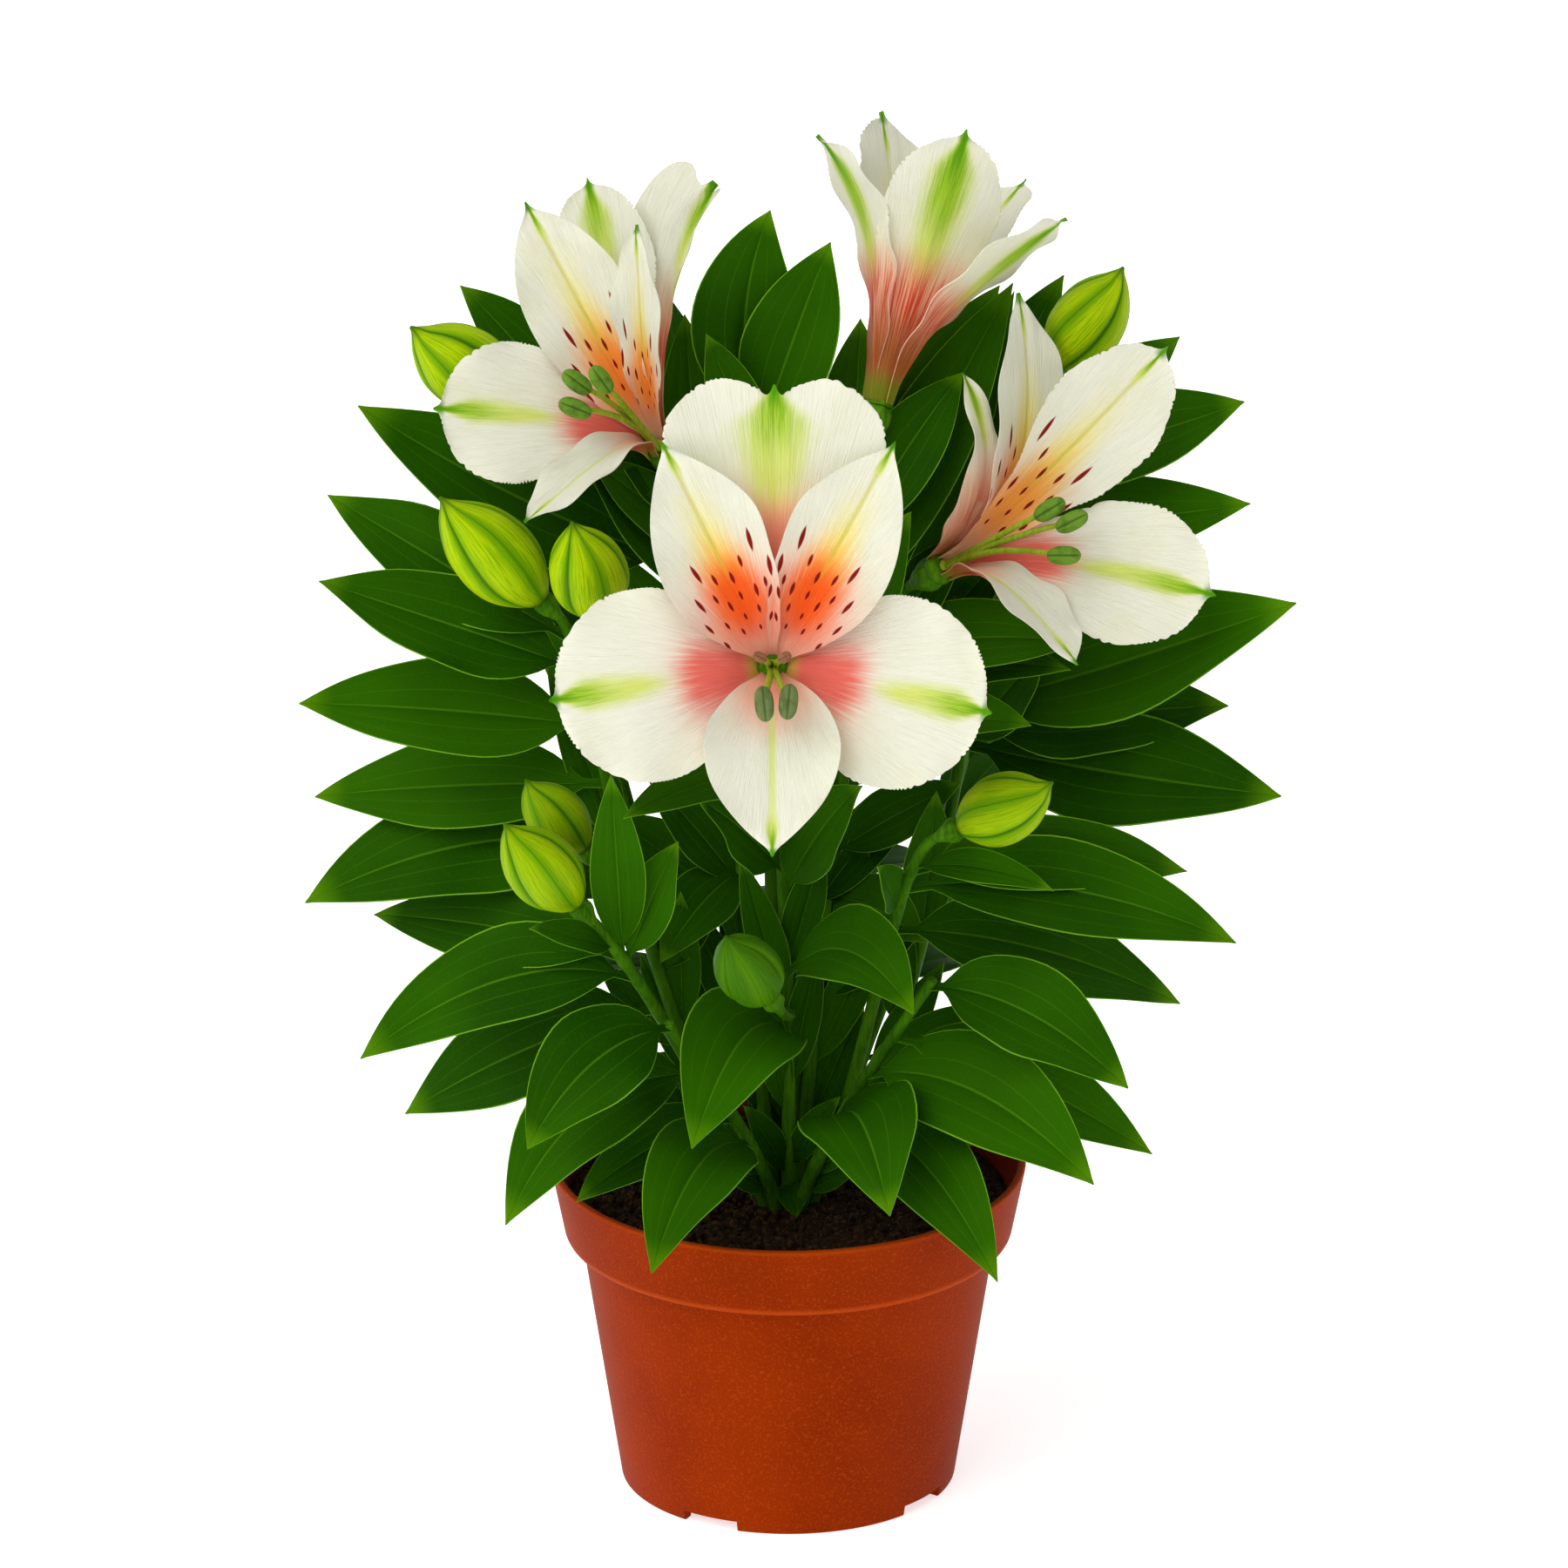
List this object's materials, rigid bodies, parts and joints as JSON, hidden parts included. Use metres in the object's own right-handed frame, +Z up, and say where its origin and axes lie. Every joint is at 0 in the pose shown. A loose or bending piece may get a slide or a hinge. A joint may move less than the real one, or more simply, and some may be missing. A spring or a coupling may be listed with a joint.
{
  "type": "potted peruvian lily",
  "caption": "Leafy flowering plant with white trumpet-shaped blooms and closed buds, growing in soil in a round plastic nursery pot.",
  "frame": {"origin": "on the ground under the middle of the pot's foot", "axes": "+Z up, -Y towards the front of the plant, where its largest bloom faces, +X to the viewer's right"},
  "size_m": [0.2483, 0.1934, 0.3537],
  "materials": {
    "pot_plastic": "satin",
    "soil": "matte, granular",
    "foliage": "satin",
    "tepal": "matte",
    "stamen": "matte",
    "bud": "satin"
  },
  "bodies": {
    "root": {"pot": "pot_plastic", "soil": "soil", "stem_front": "foliage", "stem_left": "foliage", "stem_low_left": "foliage", "shoot_front_left": "foliage", "stem_right": "foliage", "stem_right_bloom": "foliage", "stem_low_right": "foliage", "shoot_front_right": "foliage", "stem_top_bloom": "foliage", "stem_upper_left_bloom": "foliage", "shoot_top": "foliage", "shoot_back_1": "foliage", "shoot_back_2": "foliage", "shoot_back_3": "foliage", "shoot_back_4": "foliage", "shoot_back_5": "foliage", "bloom_front_tepals": "tepal", "bloom_front_stamens": "stamen", "bloom_upper_left_tepals": "tepal", "bloom_upper_left_stamens": "stamen", "bloom_top_tepals": "tepal", "bloom_top_stamens": "stamen", "bloom_right_tepals": "tepal", "bloom_right_stamens": "stamen", "bud_left": "bud", "bud_left_inner": "bud", "bud_upper_left": "bud", "bud_low_left": "bud", "bud_low_left_small": "bud", "bud_upper_right": "bud", "bud_right": "bud", "bud_front": "bud"}
  },
  "joints": []
}
